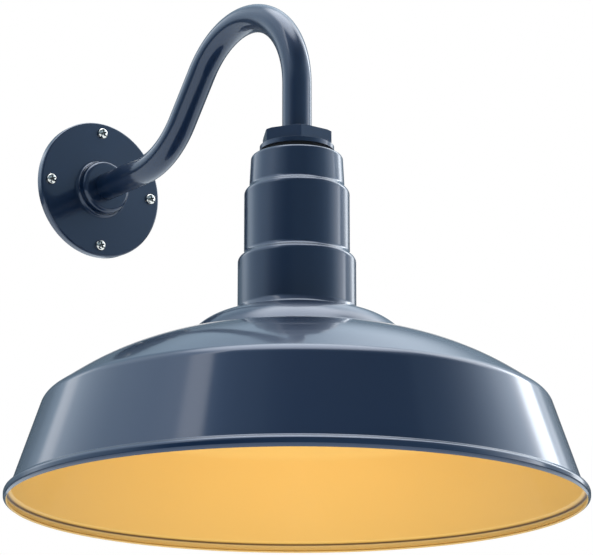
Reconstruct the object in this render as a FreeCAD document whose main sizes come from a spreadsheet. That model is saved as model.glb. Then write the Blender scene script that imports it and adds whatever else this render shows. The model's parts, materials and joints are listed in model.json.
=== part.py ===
import FreeCAD, Part
import math
import os
import Sketcher

# A gooseneck wall sconce. The frame's origin is the centre of the wall plate, on the wall;
# +Z is up and the lamp hangs out towards -Y. Pieces of the lampholder, neck and shade stand on
# the shade's axis, with their heights measured up from the plane of the shade's lip.

Vector = FreeCAD.Vector
doc = FreeCAD.newDocument("gooseneck_wall_sconce")

# driving dimensions, in millimetres, degrees and counts
size_cells = {
    # wall plate
    "plate_radius": 55.2,
    "plate_thickness": 6.5,
    "plate_edge_round": 1.6,
    "plate_back_round": 0.6,
    "hollow_radius": 38,
    "hollow_depth": 3.2,
    "hub_radius": 21.4,
    "hub_length": 9.6,
    "hub_edge_round": 3.4,
    "hub_foot_round": 6,
    "pipe_fit": 0.05,
    "gasket_thickness": 1.5,
    "gasket_inset": 1.5,
    "gasket_screw_hole": 3.4,
    # wall screws
    "wall_screw_circle": 46.6,
    "wall_screw_count": 4,
    "wall_screw_hole": 2.3,
    "wall_screw_radius": 2.08,
    "wall_screw_shoulder": 2.2,
    "wall_screw_length": 14.5,
    "wall_screw_head_radius": 4.2,
    "wall_screw_head_height": 2.3,
    # recess of every cross head
    "recess_width": 1.0,
    "recess_depth": 1.2,
    "recess_share": 1.15,
    # arm
    "pipe_radius": 10.65,
    "pipe_wall": 2.75,
    "bend_radius": 68.6,
    "rise_angle": 51,
    "hub_run": 61.4,
    "reach": 270.7,
    "drop_run": 38.6,
    "pipe_seat": 11.5,
    # hex hub
    "hex_half_flats": 23.4,
    "hex_height": 9.4,
    "hex_sides": 6,
    "hex_corner_cut": 0.9,
    "hex_cut_radius": 25.2,
    "collar_radius": 26.8,
    "collar_height": 3.4,
    "spigot_radius": 14,
    "spigot_fit": 0.2,
    "spigot_proud": 3,
    "wireway_radius": 8,
    "hub_gasket_radius": 25,
    "hub_gasket_thickness": 4.1,
    # what clamps the hub inside the neck
    "washer_radius": 20,
    "washer_thickness": 1,
    "locknut_half_flats": 18.5,
    "locknut_height": 6,
    # sheet of the shade and the neck
    "skin": 1.2,
    # shade, as its outer line
    "shade_radius": 203.2,
    "lip_height": 8.7,
    "lip_width": 4.7,
    "lip_round": 4.2,
    "lip_toe_height": 1.4,
    "lip_toe_inset": 2,
    "lip_toe_round": 2.4,
    "crease_round": 0.8,
    "shoulder_radius": 177.8,
    "shoulder_height": 70.5,
    "shoulder_round": 8,
    "dome_radius": 126.1,
    "dome_height": 106.2,
    "dome_round": 215,
    "crown_foot_radius": 79.5,
    "crown_foot_height": 115,
    "crown_foot_round": 2,
    "crown_radius": 66.6,
    "crown_round": 40,
    "shade_height": 134.3,
    "shade_hole_radius": 33.5,
    # neck, as its outer line
    "neck_height": 119,
    "neck_lower_radius": 42.15,
    "neck_middle_radius": 37.75,
    "neck_upper_radius": 34.2,
    "neck_top_radius": 33,
    "neck_top_round": 1.6,
    "neck_foot_flare": 0.8,
    "neck_flare_height": 2.8,
    "neck_flare_round": 3,
    "neck_foot_round": 0.4,
    "lower_step_drop": 75.3,
    "upper_step_drop": 25.3,
    "step_rise": 3,
    "step_round": 3,
    # screws that hold the shade to the neck's foot
    "shade_screw_circle": 37.3,
    "shade_screw_count": 3,
    "shade_screw_hole": 1.7,
    "shade_screw_radius": 1.5,
    "shade_screw_length": 8,
    "shade_screw_head_radius": 3,
    "shade_screw_head_height": 1.9,
    "shade_nut_half_flats": 2.75,
    "shade_nut_height": 2.4,
    # bracket that carries the lampholder
    "bracket_sheet": 1.6,
    "bracket_radius": 30,
    "bracket_leg_inset": 25,
    "bracket_leg_width": 14,
    "bracket_foot_reach": 12,
    "bracket_screw_place": 18,
    "bracket_screw_count": 2,
    "bracket_screw_radius": 1.75,
    "screw_fit": 0.05,
    "bracket_screw_length": 9,
    "bracket_screw_head_radius": 3.1,
    "bracket_screw_head_height": 2,
    "ground_screw_place": 25.5,
    "ground_screw_count": 1,
    "ground_screw_radius": 1.6,
    "ground_screw_head_radius": 2.9,
    "ground_screw_head_height": 2.2,
    # porcelain lampholder
    "mouth_rise": 31.7,
    "holder_height": 48,
    "holder_radius": 21.5,
    "holder_round": 2,
    "holder_bore": 14.6,
    "holder_bore_depth": 25,
    "holder_well_radius": 9,
    "holder_well_depth": 8,
    "shell_fit": 0.25,
    "shell_sheet": 0.4,
    "shell_wave": 0.5,
    "shell_length": 22,
    "shell_waves": 6,
    "contact_width": 5,
    "contact_sheet": 0.6,
    "contact_half_span": 6,
    "contact_gap": 0.3,
    "terminal_circle": 12.7,
    "terminal_count": 2,
    "terminal_turn": 135,
    "terminal_screw_radius": 1.75,
    "terminal_screw_length": 5,
    "terminal_screw_head_radius": 3.2,
    "terminal_screw_head_height": 2.2,
    # leads
    "lead_radius": 1.2,
    "lead_spread": 4,
    "lead_climb": 12,
    "lead_gather": 4,
    "lead_bend": 7.2,
    "ground_lead_sag": 5,
    "ground_lead_bend": 11,
    "lead_end_depth": 0.5,
    # lamp
    "lamp_drop": 2,
    "cap_core_radius": 12.3,
    "cap_thread_radius": 13.1,
    "cap_thread_pitch": 3.629,
    "cap_thread_height": 14.5,
    "cap_thread_start": 2.5,
    "cap_thread_foot": 2.6,
    "cap_thread_crest": 1,
    "cap_height": 20,
    "cap_rim_height": 1.6,
    "cap_shoulder_round": 1.2,
    "insulator_foot_radius": 11,
    "insulator_top_radius": 5.5,
    "insulator_height": 4.5,
    "tip_radius": 4.5,
    "tip_height": 1.4,
    "tip_round": 0.6,
    "housing_sheet": 1.6,
    "housing_top_radius": 14.2,
    "housing_waist_radius": 16.5,
    "housing_waist_drop": 12,
    "housing_waist_round": 20,
    "housing_rim_radius": 29.4,
    "housing_rim_drop": 37,
    "housing_height": 40,
    "housing_rim_round": 6,
    "globe_sheet": 1.2,
    "globe_neck_inset": 0.6,
    "globe_radius": 30.4,
    "globe_shoulder_drop": 10,
    "globe_shoulder_round": 24,
    "globe_height": 43,
    "globe_round": 29,
    "led_board_fit": 0.2,
    "led_board_thickness": 1.6,
    "led_board_lift": 0.4,
    "led_count": 8,
    "led_circle": 16,
    "led_side": 3.5,
    "led_height": 0.8,
    "driver_width": 20,
    "driver_height": 26,
    "driver_thickness": 1.6,
    # where the sheet metal lips and holes clear each other
    "clearance": 0.2,
}

# places worked out from them
place_cells = {
    # out from the wall
    "plate_back": "=size.gasket_thickness",
    "plate_front": "=size.gasket_thickness + size.plate_thickness",
    "hollow_ceiling": "=size.gasket_thickness + size.hollow_depth",
    "hub_front": "=plate_front + size.hub_length",
    "hub_bore": "=size.pipe_radius + size.pipe_fit",
    "gasket_radius": "=size.plate_radius - size.gasket_inset",
    "pipe_bore": "=size.pipe_radius - size.pipe_wall",
    # the arm's corners and the hub, up from the wall plate's centre
    "rise_corner": "=plate_front + size.hub_run + size.bend_radius * tan(size.rise_angle / 2)",
    "drop_corner": "=(size.reach - rise_corner) * tan(size.rise_angle)",
    "drop_start": "=drop_corner - size.bend_radius * tan(45 + size.rise_angle / 2)",
    "hub_top": "=drop_start - size.drop_run",
    "arm_end": "=hub_top - size.pipe_seat",
    "lip_level": "=hub_top - hex_top",
    # heights above the lip
    "neck_top": "=size.shade_height + size.neck_height",
    "neck_ceiling": "=neck_top - size.skin",
    "collar_foot": "=neck_top + size.hub_gasket_thickness",
    "hex_foot": "=collar_foot + size.collar_height",
    "hex_top": "=hex_foot + size.hex_height",
    "hex_cut_foot": "=hex_top - size.hex_corner_cut",
    "hex_circle": "=size.hex_half_flats / cos(30)",
    "hex_clear": "=hex_circle + size.clearance",
    "pipe_seat_level": "=hex_top - size.pipe_seat",
    "bracket_foot": "=neck_ceiling - size.bracket_sheet",
    "washer_foot": "=bracket_foot - size.washer_thickness",
    "locknut_foot": "=washer_foot - size.locknut_height",
    "spigot_foot": "=locknut_foot - size.spigot_proud",
    "spigot_hole": "=size.spigot_radius + size.spigot_fit",
    "locknut_circle": "=size.locknut_half_flats / cos(30)",
    # shade
    "crease_radius": "=size.shade_radius - size.lip_width",
    "lip_edge_radius": "=size.shade_radius - size.lip_toe_inset",
    "shade_ceiling": "=size.shade_height - size.skin",
    # neck
    "flare_radius": "=size.neck_lower_radius + size.neck_foot_flare",
    "flare_top": "=size.shade_height + size.neck_flare_height",
    "lower_step_foot": "=neck_top - size.lower_step_drop - size.step_rise / 2",
    "lower_step_top": "=neck_top - size.lower_step_drop + size.step_rise / 2",
    "upper_step_foot": "=neck_top - size.upper_step_drop - size.step_rise / 2",
    "upper_step_top": "=neck_top - size.upper_step_drop + size.step_rise / 2",
    "flange_top": "=size.shade_height + size.skin",
    "shade_nut_circle": "=size.shade_nut_half_flats / cos(30)",
    # lampholder
    "mouth": "=size.shade_height + size.mouth_rise",
    "holder_top": "=mouth + size.holder_height",
    "bore_top": "=mouth + size.holder_bore_depth",
    "well_top": "=bore_top + size.holder_well_depth",
    "leg_height": "=bracket_foot - holder_top",
    "leg_outside": "=size.bracket_leg_inset + size.bracket_sheet",
    "foot_inside": "=leg_outside - size.bracket_foot_reach - size.bracket_sheet",
    "foot_length": "=size.bracket_foot_reach + size.bracket_sheet",
    "foot_top": "=holder_top + size.bracket_sheet",
    "leg_half_width": "=size.bracket_leg_width / 2",
    "bracket_screw_hole": "=size.bracket_screw_radius + size.screw_fit",
    "bracket_screw_end": "=foot_top - size.bracket_screw_length",
    "ground_screw_hole": "=size.ground_screw_radius + size.screw_fit",
    "ground_screw_head": "=bracket_foot - size.ground_screw_head_height",
    "terminal_screw_hole": "=size.terminal_screw_radius + size.screw_fit",
    "terminal_screw_end": "=holder_top - size.terminal_screw_length",
    "shell_outer": "=size.holder_bore - size.clearance",
    "shell_valley": "=shell_outer - size.shell_wave",
    "shell_top": "=bore_top - size.clearance",
    "shell_foot": "=shell_top - size.shell_length",
    "shell_hole": "=size.insulator_top_radius + size.shell_fit",
    "terminal_across": "=size.terminal_circle * cos(size.terminal_turn)",
    "terminal_back": "=size.terminal_circle * sin(size.terminal_turn)",
    "terminal_top": "=holder_top + size.terminal_screw_head_height",
    # lamp
    "cap_foot": "=mouth - size.lamp_drop",
    "cap_top": "=cap_foot + size.cap_height",
    "cap_rim_top": "=cap_foot + size.cap_rim_height",
    "thread_start": "=cap_foot + size.cap_thread_start",
    "thread_root": "=size.cap_core_radius - size.clearance",
    "thread_top": "=thread_start + size.cap_thread_foot",
    "thread_crest_foot": "=thread_start + (size.cap_thread_foot - size.cap_thread_crest) / 2",
    "thread_crest_top": "=thread_crest_foot + size.cap_thread_crest",
    "insulator_top": "=cap_top + size.insulator_height",
    "tip_top": "=insulator_top + size.tip_height",
    "contact_foot": "=tip_top + size.contact_gap",
    "contact_face": "=contact_foot + size.contact_sheet",
    "contact_seat": "=well_top - size.contact_sheet",
    "contact_tongue": "=size.tip_radius - size.contact_sheet",
    "contact_step": "=contact_tongue + size.contact_sheet",
    "housing_waist": "=cap_foot - size.housing_waist_drop",
    "housing_rim": "=cap_foot - size.housing_rim_drop",
    "housing_foot": "=cap_foot - size.housing_height",
    "globe_top_radius": "=size.housing_rim_radius - size.globe_neck_inset",
    "globe_shoulder": "=housing_foot - size.globe_shoulder_drop",
    "globe_foot": "=housing_foot - size.globe_height",
    "led_board_radius": "=size.housing_rim_radius - size.housing_sheet - size.led_board_fit",
    "led_board_foot": "=housing_foot + size.led_board_lift",
    "led_board_top": "=led_board_foot + size.led_board_thickness",
    "led_foot": "=led_board_foot - size.led_height",
    "led_inside": "=size.led_circle - size.led_side / 2",
    "led_half": "=size.led_side / 2",
    "driver_half_width": "=size.driver_width / 2",
    "driver_half_thickness": "=size.driver_thickness / 2",
}


# the screw shell's waves, up from its foot
wave_count = 2 * size_cells["shell_waves"]
for step in range(1, wave_count):
    place_cells["wave_%d" % step] = "=shell_foot + size.shell_length * %d / %d" % (step, wave_count)


def fill_sheet(name, cells):
    sheet = doc.addObject("Spreadsheet::Sheet", name)
    for row, (alias, content) in enumerate(cells.items(), start=1):
        sheet.set("A%d" % row, alias)
        sheet.set("B%d" % row, str(content))
        sheet.setAlias("B%d" % row, alias)
    doc.recompute()
    return sheet


size = fill_sheet("size", size_cells)
place = fill_sheet("place", place_cells)


def formula(name):
    """The expression that reads a cell, whose name may carry a minus sign."""
    bare = name.lstrip("-")
    sheet = "size" if bare in size_cells else "place"
    return name.replace(bare, "%s.%s" % (sheet, bare))


def number(name):
    """The value of the same cell now."""
    bare = name.lstrip("-")
    sheet = size if bare in size_cells else place
    value = float(getattr(sheet, bare))
    return -value if name.startswith("-") else value


def bind(thing, **properties):
    """Ties properties to cells, as Radius='pipe_radius' or Placement__Base__x='reach'."""
    for key, name in properties.items():
        thing.setExpression(key.replace("__", "."), formula(name))


def origin_feature(body, role):
    return [feature for feature in body.Origin.OriginFeatures if feature.Role == role][0]


def on_plane(thing, body, role="XY_Plane"):
    thing.AttachmentSupport = (origin_feature(body, role), [""])
    thing.MapMode = "FlatFace"
    return thing


# ---- sketches ----

def fix_point(sketch, geometry, end, across, up):
    """Ties a point to two cells, or to an axis where the cell's name is None."""
    for kind, axis, name in (("DistanceX", -2, across), ("DistanceY", -1, up)):
        if name is None:
            sketch.addConstraint(Sketcher.Constraint("PointOnObject", geometry, end, axis))
        else:
            datum = Sketcher.Constraint(kind, -1, 1, geometry, end, number(name))
            index = sketch.addConstraint(datum)
            sketch.setExpression("Constraints[%d]" % index, formula(name))


def rounding(before, corner, after, radius):
    """The arc of a rounded corner: its two ends, its centre and whether it turns left."""
    back = (before - corner).normalize()
    ahead = (after - corner).normalize()
    half = back.getAngle(ahead) / 2
    start = corner + back * (radius / math.tan(half))
    finish = corner + ahead * (radius / math.tan(half))
    centre = corner + (back + ahead).normalize() * (radius / math.sin(half))
    turns_left = (corner - before).cross(after - corner).z > 0
    return start, finish, centre, turns_left


def draw(sketch, corners, closed=True):
    """Draws straight sides with rounded corners: each corner is (across, up, round or None)."""
    spots = [Vector(number(x) if x else 0, number(y) if y else 0, 0) for x, y, _ in corners]
    count = len(corners)
    ends = []
    for index, (spot, corner) in enumerate(zip(spots, corners)):
        inner = closed or 0 < index < count - 1
        if inner and corner[2]:
            before, after = spots[index - 1], spots[(index + 1) % count]
            ends.append(rounding(before, spot, after, number(corner[2])))
        else:
            ends.append((spot, spot, None, None))
    sides = count if closed else count - 1
    lines = []
    for index in range(sides):
        following = (index + 1) % count
        lines.append(sketch.addGeometry(Part.LineSegment(ends[index][1], ends[following][0])))
    for index, (across, up, radius) in enumerate(corners):
        start, finish, centre, turns_left = ends[index]
        line_in = lines[index - 1] if closed or index > 0 else None
        line_out = lines[index] if index < sides else None
        if centre is None:
            if line_in is None:
                fix_point(sketch, line_out, 1, across, up)
                continue
            fix_point(sketch, line_in, 2, across, up)
            if line_out is not None:
                sketch.addConstraint(Sketcher.Constraint("Coincident", line_in, 2, line_out, 1))
            continue
        first, last = (start, finish) if turns_left else (finish, start)
        angles = [math.atan2(end.y - centre.y, end.x - centre.x) for end in (first, last)]
        circle = Part.Circle(centre, Vector(0, 0, 1), number(radius))
        arc = sketch.addGeometry(Part.ArcOfCircle(circle, *angles))
        entry, leave = (1, 2) if turns_left else (2, 1)
        sketch.addConstraint(Sketcher.Constraint("Tangent", line_in, 2, arc, entry))
        sketch.addConstraint(Sketcher.Constraint("Tangent", line_out, 1, arc, leave))
        datum = sketch.addConstraint(Sketcher.Constraint("Radius", arc, number(radius)))
        sketch.setExpression("Constraints[%d]" % datum, formula(radius))
        point = sketch.addGeometry(Part.Point(spots[index]), True)
        sketch.addConstraint(Sketcher.Constraint("PointOnObject", point, 1, line_in))
        sketch.addConstraint(Sketcher.Constraint("PointOnObject", point, 1, line_out))
        fix_point(sketch, point, 1, across, up)


def body_sketch(body, name, corners, role="XZ_Plane", closed=True):
    sketch = body.newObject("Sketcher::SketchObject", name)
    on_plane(sketch, body, role)
    draw(sketch, corners, closed)
    return sketch


# ---- ways of making a piece ----

pieces = []


def keep(thing, label):
    thing.Label = label
    pieces.append(thing)
    return thing


def new_body(label):
    return keep(doc.addObject("PartDesign::Body", label), label)


def on_shade_axis(thing):
    """Stands a piece on the shade's axis, its zero height at the lip."""
    bind(thing, Placement__Base__y="-reach", Placement__Base__z="lip_level")
    return thing


def turn(body, name, corners, axis="V_Axis", role="XZ_Plane", cut=False):
    sketch = body_sketch(body, name + "_outline", corners, role)
    kind = "PartDesign::Groove" if cut else "PartDesign::Revolution"
    feature = body.newObject(kind, name)
    feature.Profile = sketch
    feature.ReferenceAxis = (sketch, [axis])
    feature.Angle = 360
    return feature


def turned(label, corners):
    body = on_shade_axis(new_body(label))
    turn(body, label + "_turning", corners)
    return body


def solid(body, kind, name, at=(None, None, None), **cells):
    """A primitive of a body, set off from its origin by named cells."""
    feature = body.newObject("PartDesign::" + kind, name)
    on_plane(feature, body)
    bind(feature, **cells)
    for key, cell in zip("xyz", at):
        if cell:
            feature.setExpression("AttachmentOffset.Base." + key, formula(cell))
    return feature


def ring(body, name, features, count):
    pattern = body.newObject("PartDesign::PolarPattern", name)
    pattern.Originals = features
    pattern.Axis = (origin_feature(body, "Z_Axis"), [""])
    pattern.Angle = 360
    bind(pattern, Occurrences=count)
    body.Tip = pattern
    return pattern


def spun_sheet(label, corners, sheet):
    """A shell of one sheet, turned from its outer line; the sheet lies on the line's inside."""
    line = doc.addObject("Sketcher::SketchObject", label + "_line")
    line.Placement = FreeCAD.Placement(Vector(0, 0, 0), FreeCAD.Rotation(Vector(1, 0, 0), 90))
    draw(line, corners, closed=False)
    wall = doc.addObject("Part::Offset2D", label + "_wall")
    wall.Source = line
    wall.Mode = "Skin"
    wall.Fill = True
    bind(wall, Value=sheet)
    spin = doc.addObject("Part::Revolution", label + "_spin")
    spin.Source = wall
    spin.Axis = Vector(0, 0, 1)
    spin.Base = Vector(0, 0, 0)
    spin.Angle = 360
    spin.Solid = True
    return spin


def cross_screws(label, prefix, circle, seat, length, count, shoulder=None):
    """Cross-head screws on a circle: heads stand up from the seat, shanks reach down from it."""
    body = new_body(label)
    shank = solid(body, "AdditiveCylinder", label + "_shank", (circle, None, seat),
                  Radius=prefix + "_radius", Height=length)
    shank.setExpression("AttachmentOffset.Base.z", "%s - %s" % (formula(seat), formula(length)))
    dome = solid(body, "AdditiveEllipsoid", label + "_dome", (circle, None, seat),
                 Radius1=prefix + "_head_height", Radius2=prefix + "_head_radius",
                 Radius3=prefix + "_head_radius")
    dome.Angle1 = 0
    features = [shank, dome]
    if shoulder:
        foot, radius, height = shoulder
        features.append(solid(body, "AdditiveCylinder", label + "_shoulder",
                              (circle, None, foot), Radius=radius, Height=height))
    head_top = "%s + %s" % (formula(seat), formula(prefix + "_head_height"))
    for index in range(2):
        slot = solid(body, "SubtractiveBox", "%s_slot_%d" % (label, index))
        span = "%s * size.recess_share" % formula(prefix + "_head_radius")
        sides = [span, "size.recess_width"]
        long_side, short_side = sides if index == 0 else reversed(sides)
        slot.setExpression("Length", long_side)
        slot.setExpression("Width", short_side)
        slot.setExpression("Height", "size.recess_depth")
        slot.setExpression("AttachmentOffset.Base.x", "%s - %s / 2" % (formula(circle), long_side))
        slot.setExpression("AttachmentOffset.Base.y", "-(%s) / 2" % short_side)
        slot.setExpression("AttachmentOffset.Base.z", head_top + " - size.recess_depth")
        features.append(slot)
    ring(body, label + "_ring", features, count)
    return body


# ---- wall plate and its screws ----

plate = new_body("wall_plate")
turn(plate, "plate_casting", [
    ("hollow_radius", "-plate_back", None),
    ("plate_radius", "-plate_back", "plate_back_round"),
    ("plate_radius", "-plate_front", "plate_edge_round"),
    ("hub_radius", "-plate_front", "hub_foot_round"),
    ("hub_radius", "-hub_front", "hub_edge_round"),
    ("hub_bore", "-hub_front", None),
    ("hub_bore", "-hollow_ceiling", None),
    ("hollow_radius", "-hollow_ceiling", None),
], role="XY_Plane")

gasket = new_body("plate_gasket")
turn(gasket, "gasket_ring", [
    ("hollow_radius", None, None),
    ("gasket_radius", None, None),
    ("gasket_radius", "-plate_back", None),
    ("hollow_radius", "-plate_back", None),
], role="XY_Plane")


def wall_screw_holes(body, name, radius):
    sketch = body.newObject("Sketcher::SketchObject", name + "_outline")
    on_plane(sketch, body, "XZ_Plane")
    start = Vector(number("wall_screw_circle"), 0, 0)
    circle = Part.Circle(start, Vector(0, 0, 1), number(radius))
    sketch.addGeometry(circle)
    fix_point(sketch, 0, 3, "wall_screw_circle", None)
    sketch.addConstraint(Sketcher.Constraint("Radius", 0, number(radius)))
    sketch.setExpression("Constraints[2]", formula(radius))
    solid_before = body.Tip.Shape.Volume
    pocket = body.newObject("PartDesign::Pocket", name)
    pocket.Profile = sketch
    pocket.Type = 1
    pocket.Midplane = True
    doc.recompute()
    assert pocket.Shape.Volume < solid_before, name + " cut nothing"
    pattern = body.newObject("PartDesign::PolarPattern", name + "_ring")
    pattern.Originals = [pocket]
    pattern.Axis = (origin_feature(body, "Y_Axis"), [""])
    pattern.Angle = 360
    bind(pattern, Occurrences="wall_screw_count")
    body.Tip = pattern


doc.recompute()
wall_screw_holes(plate, "plate_holes", "wall_screw_hole")
wall_screw_holes(gasket, "gasket_holes", "gasket_screw_hole")

wall_screws = cross_screws("wall_screws", "wall_screw", "wall_screw_circle", "plate_front",
                           "wall_screw_length", "wall_screw_count",
                           ("plate_back", "wall_screw_shoulder", "plate_thickness"))
wall_screws.Placement.Rotation = FreeCAD.Rotation(Vector(1, 0, 0), 90)


# ---- arm ----

arm_corners = [
    ("-hollow_ceiling", None, None),
    ("-rise_corner", None, "bend_radius"),
    ("-reach", "drop_corner", "bend_radius"),
    ("-reach", "arm_end", None),
]
arm = new_body("gooseneck_arm")
arm_line = body_sketch(arm, "arm_line", arm_corners, "YZ_Plane", closed=False)
arm_section = arm.newObject("Sketcher::SketchObject", "arm_section")
on_plane(arm_section, arm, "XZ_Plane")
arm_section.setExpression("AttachmentOffset.Base.z", formula("hollow_ceiling"))
for index, radius in enumerate(("pipe_radius", "pipe_bore")):
    arm_section.addGeometry(Part.Circle(Vector(0, 0, 0), Vector(0, 0, 1), number(radius)))
    arm_section.addConstraint(Sketcher.Constraint("Coincident", index, 3, -1, 1))
    datum = arm_section.addConstraint(Sketcher.Constraint("Radius", index, number(radius)))
    arm_section.setExpression("Constraints[%d]" % datum, formula(radius))
arm_tube = arm.newObject("PartDesign::AdditivePipe", "arm_tube")
arm_tube.Profile = arm_section
arm_tube.Spine = arm_line


# ---- hex hub and what clamps it in the neck ----

hub = on_shade_axis(new_body("hex_hub"))
solid(hub, "AdditivePrism", "hub_hex", (None, None, "hex_foot"),
      Polygon="hex_sides", Circumradius="hex_circle", Height="hex_height")
turn(hub, "hub_turning", [
    ("wireway_radius", "spigot_foot", None),
    ("spigot_radius", "spigot_foot", None),
    ("spigot_radius", "collar_foot", None),
    ("collar_radius", "collar_foot", None),
    ("collar_radius", "hex_foot", None),
    ("wireway_radius", "hex_foot", None),
])
turn(hub, "hub_corner_cut", [
    ("hex_cut_radius", "hex_top", None),
    ("hex_clear", "hex_cut_foot", None),
    ("hex_clear", "hex_top", None),
], cut=True)
turn(hub, "hub_wireway", [
    (None, "spigot_foot", None),
    ("wireway_radius", "spigot_foot", None),
    ("wireway_radius", "pipe_seat_level", None),
    ("hub_bore", "pipe_seat_level", None),
    ("hub_bore", "hex_top", None),
    (None, "hex_top", None),
], cut=True)

turned("hub_gasket", [
    ("spigot_hole", "neck_top", None),
    ("hub_gasket_radius", "neck_top", None),
    ("hub_gasket_radius", "collar_foot", None),
    ("spigot_hole", "collar_foot", None),
])
turned("lock_washer", [
    ("spigot_hole", "washer_foot", None),
    ("washer_radius", "washer_foot", None),
    ("washer_radius", "bracket_foot", None),
    ("spigot_hole", "bracket_foot", None),
])
locknut = on_shade_axis(new_body("neck_locknut"))
solid(locknut, "AdditivePrism", "locknut_hex", (None, None, "locknut_foot"),
      Polygon="hex_sides", Circumradius="locknut_circle", Height="locknut_height")
solid(locknut, "SubtractiveCylinder", "locknut_bore", (None, None, "locknut_foot"),
      Radius="spigot_hole", Height="locknut_height")


# ---- neck and shade, each one spun sheet ----

def screw_holes_cut(sheet, label, foot, circle, radius, height, count):
    """Cuts a ring of upright holes through a spun sheet."""
    rods = []
    for index in range(int(number(count))):
        rod = doc.addObject("Part::Cylinder", "%s_rod_%d" % (label, index))
        bind(rod, Radius=radius, Height=height)
        turn_text = "%d * 360 / %s" % (index, formula(count))
        rod.setExpression("Placement.Base.x", "%s * cos(%s)" % (formula(circle), turn_text))
        rod.setExpression("Placement.Base.y", "%s * sin(%s)" % (formula(circle), turn_text))
        rod.setExpression("Placement.Base.z", formula(foot))
        rods.append(rod)
    drills = doc.addObject("Part::Compound", label + "_drills")
    drills.Links = rods
    cut = doc.addObject("Part::Cut", label)
    cut.Base = sheet
    cut.Tool = drills
    return on_shade_axis(keep(cut, label))


neck_sheet = spun_sheet("neck_housing", [
    ("shade_hole_radius", "shade_height", None),
    ("flare_radius", "shade_height", "neck_foot_round"),
    ("neck_lower_radius", "flare_top", "neck_flare_round"),
    ("neck_lower_radius", "lower_step_foot", "step_round"),
    ("neck_middle_radius", "lower_step_top", "step_round"),
    ("neck_middle_radius", "upper_step_foot", "step_round"),
    ("neck_upper_radius", "upper_step_top", "step_round"),
    ("neck_top_radius", "neck_top", "neck_top_round"),
    ("spigot_hole", "neck_top", None),
], "skin")
neck = screw_holes_cut(neck_sheet, "neck_housing", "shade_ceiling", "shade_screw_circle",
                       "shade_screw_hole", "shade_screw_length", "shade_screw_count")

shade_sheet = spun_sheet("shade", [
    ("lip_edge_radius", None, None),
    ("shade_radius", "lip_toe_height", "lip_toe_round"),
    ("shade_radius", "lip_height", "lip_round"),
    ("crease_radius", "lip_height", "crease_round"),
    ("shoulder_radius", "shoulder_height", "shoulder_round"),
    ("dome_radius", "dome_height", "dome_round"),
    ("crown_foot_radius", "crown_foot_height", "crown_foot_round"),
    ("crown_radius", "shade_height", "crown_round"),
    ("shade_hole_radius", "shade_height", None),
], "skin")
shade = screw_holes_cut(shade_sheet, "shade", "shade_ceiling", "shade_screw_circle",
                        "shade_screw_hole", "shade_screw_length", "shade_screw_count")

upside_down = FreeCAD.Rotation(Vector(1, 0, 0), 180)
shade_screws = cross_screws("shade_screws", "shade_screw", "shade_screw_circle",
                            "-shade_ceiling", "shade_screw_length", "shade_screw_count")
shade_screws.Placement.Rotation = upside_down
on_shade_axis(shade_screws)

nuts = on_shade_axis(new_body("shade_nuts"))
nut_hex = solid(nuts, "AdditivePrism", "nut_hex", ("shade_screw_circle", None, "flange_top"),
                Polygon="hex_sides", Circumradius="shade_nut_circle", Height="shade_nut_height")
nut_bore = solid(nuts, "SubtractiveCylinder", "nut_bore",
                 ("shade_screw_circle", None, "flange_top"),
                 Radius="shade_screw_hole", Height="shade_nut_height")
ring(nuts, "nut_ring", [nut_hex, nut_bore], "shade_screw_count")


# ---- bracket ----

bracket = on_shade_axis(new_body("holder_bracket"))
solid(bracket, "AdditiveCylinder", "bracket_disc", (None, None, "bracket_foot"),
      Radius="bracket_radius", Height="bracket_sheet")
solid(bracket, "SubtractiveCylinder", "bracket_hole", (None, None, "bracket_foot"),
      Radius="spigot_hole", Height="bracket_sheet")
leg = solid(bracket, "AdditiveBox", "bracket_leg",
            ("bracket_leg_inset", "-leg_half_width", "holder_top"),
            Length="bracket_sheet", Width="bracket_leg_width", Height="leg_height")
foot = solid(bracket, "AdditiveBox", "bracket_toe",
             ("foot_inside", "-leg_half_width", "holder_top"),
             Length="foot_length", Width="bracket_leg_width", Height="bracket_sheet")
toe_hole = solid(bracket, "SubtractiveCylinder", "toe_hole",
                 ("bracket_screw_place", None, "holder_top"),
                 Radius="bracket_screw_hole", Height="bracket_sheet")
ring(bracket, "bracket_legs", [leg, foot, toe_hole], "bracket_screw_count")
solid(bracket, "SubtractiveCylinder", "ground_hole",
      (None, "-ground_screw_place", "bracket_foot"),
      Radius="ground_screw_hole", Height="bracket_sheet")

on_shade_axis(cross_screws("bracket_screws", "bracket_screw", "bracket_screw_place",
                           "foot_top", "bracket_screw_length", "bracket_screw_count"))

ground_screw = cross_screws("ground_screw", "ground_screw", "ground_screw_place",
                            "-bracket_foot", "bracket_sheet", "ground_screw_count")
ground_screw.Placement.Rotation = upside_down.multiply(FreeCAD.Rotation(Vector(0, 0, 1), 90))
on_shade_axis(ground_screw)


# ---- lampholder ----

holder = turned("holder_porcelain", [
    ("holder_bore", "mouth", None),
    ("holder_radius", "mouth", "holder_round"),
    ("holder_radius", "holder_top", "holder_round"),
    (None, "holder_top", None),
    (None, "well_top", None),
    ("holder_well_radius", "well_top", None),
    ("holder_well_radius", "bore_top", None),
    ("holder_bore", "bore_top", None),
])
holder_hole = solid(holder, "SubtractiveCylinder", "holder_screw_hole",
                    ("bracket_screw_place", None, "bracket_screw_end"),
                    Radius="bracket_screw_hole", Height="bracket_screw_length")
ring(holder, "holder_screw_holes", [holder_hole], "bracket_screw_count")
terminal_hole = solid(holder, "SubtractiveCylinder", "terminal_hole",
                      ("terminal_across", "terminal_back", "terminal_screw_end"),
                      Radius="terminal_screw_hole", Height="terminal_screw_length")
ring(holder, "terminal_holes", [terminal_hole], "terminal_count")

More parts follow.
